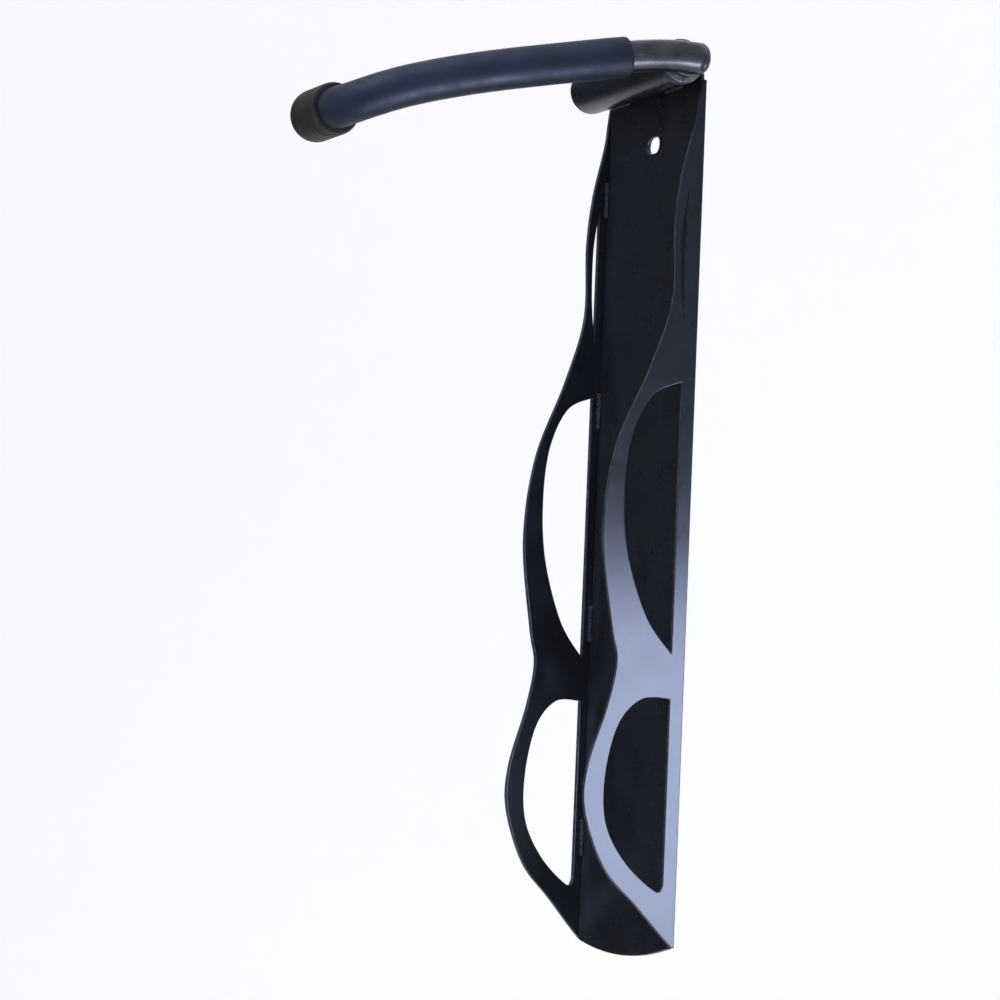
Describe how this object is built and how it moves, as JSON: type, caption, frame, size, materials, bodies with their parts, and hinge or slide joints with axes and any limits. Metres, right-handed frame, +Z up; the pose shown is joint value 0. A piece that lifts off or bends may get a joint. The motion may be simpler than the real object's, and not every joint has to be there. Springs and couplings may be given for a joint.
{
  "type": "bicycle wall rack",
  "caption": "Wall rack for hanging a bicycle: back plate with wavy side wings for the tyre and a sleeved arm on a pivot barrel that folds up and hooks the wheel rim.",
  "frame": {"origin": "middle of the back plate's wall face, half way up the wings", "axes": "+Y into the wall, -Y into the room, +Z up, +X towards the side that carries the arm"},
  "size_m": [0.1391, 0.217, 0.4884],
  "materials": {
    "coated_sheet": "semi-gloss black powder coat with a blue cast",
    "dark_tube": "polished black nickel plate",
    "navy_sleeve": "dense closed-cell sleeve, matt navy",
    "black_rubber": "matt moulded rubber",
    "nylon": "turned black nylon",
    "steel": "turned zinc-plated steel",
    "spring_steel": "phosphated spring steel"
  },
  "bodies": {
    "rack": {"back_plate": "coated_sheet", "right_wing": "coated_sheet", "left_wing": "coated_sheet", "pivot_barrel": "coated_sheet", "barrel_end_cap": "black_rubber", "near_bush": "nylon", "far_bush": "nylon", "wave_washer": "spring_steel"},
    "arm": {"pivot_shaft": "steel", "retaining_washer": "steel", "retaining_ring": "spring_steel", "stop_pin": "spring_steel", "arm_tube": "dark_tube", "arm_tail_plug": "dark_tube", "arm_sleeve": "navy_sleeve", "tip_pad": "black_rubber"}
  },
  "joints": [
    {"name": "arm_fold", "type": "hinge", "parent": "rack", "child": "arm", "pos_m": [0.06, -0.0155, 0.239], "axis": [-1, 0, 0], "range_deg": [0, 100]}
  ]
}
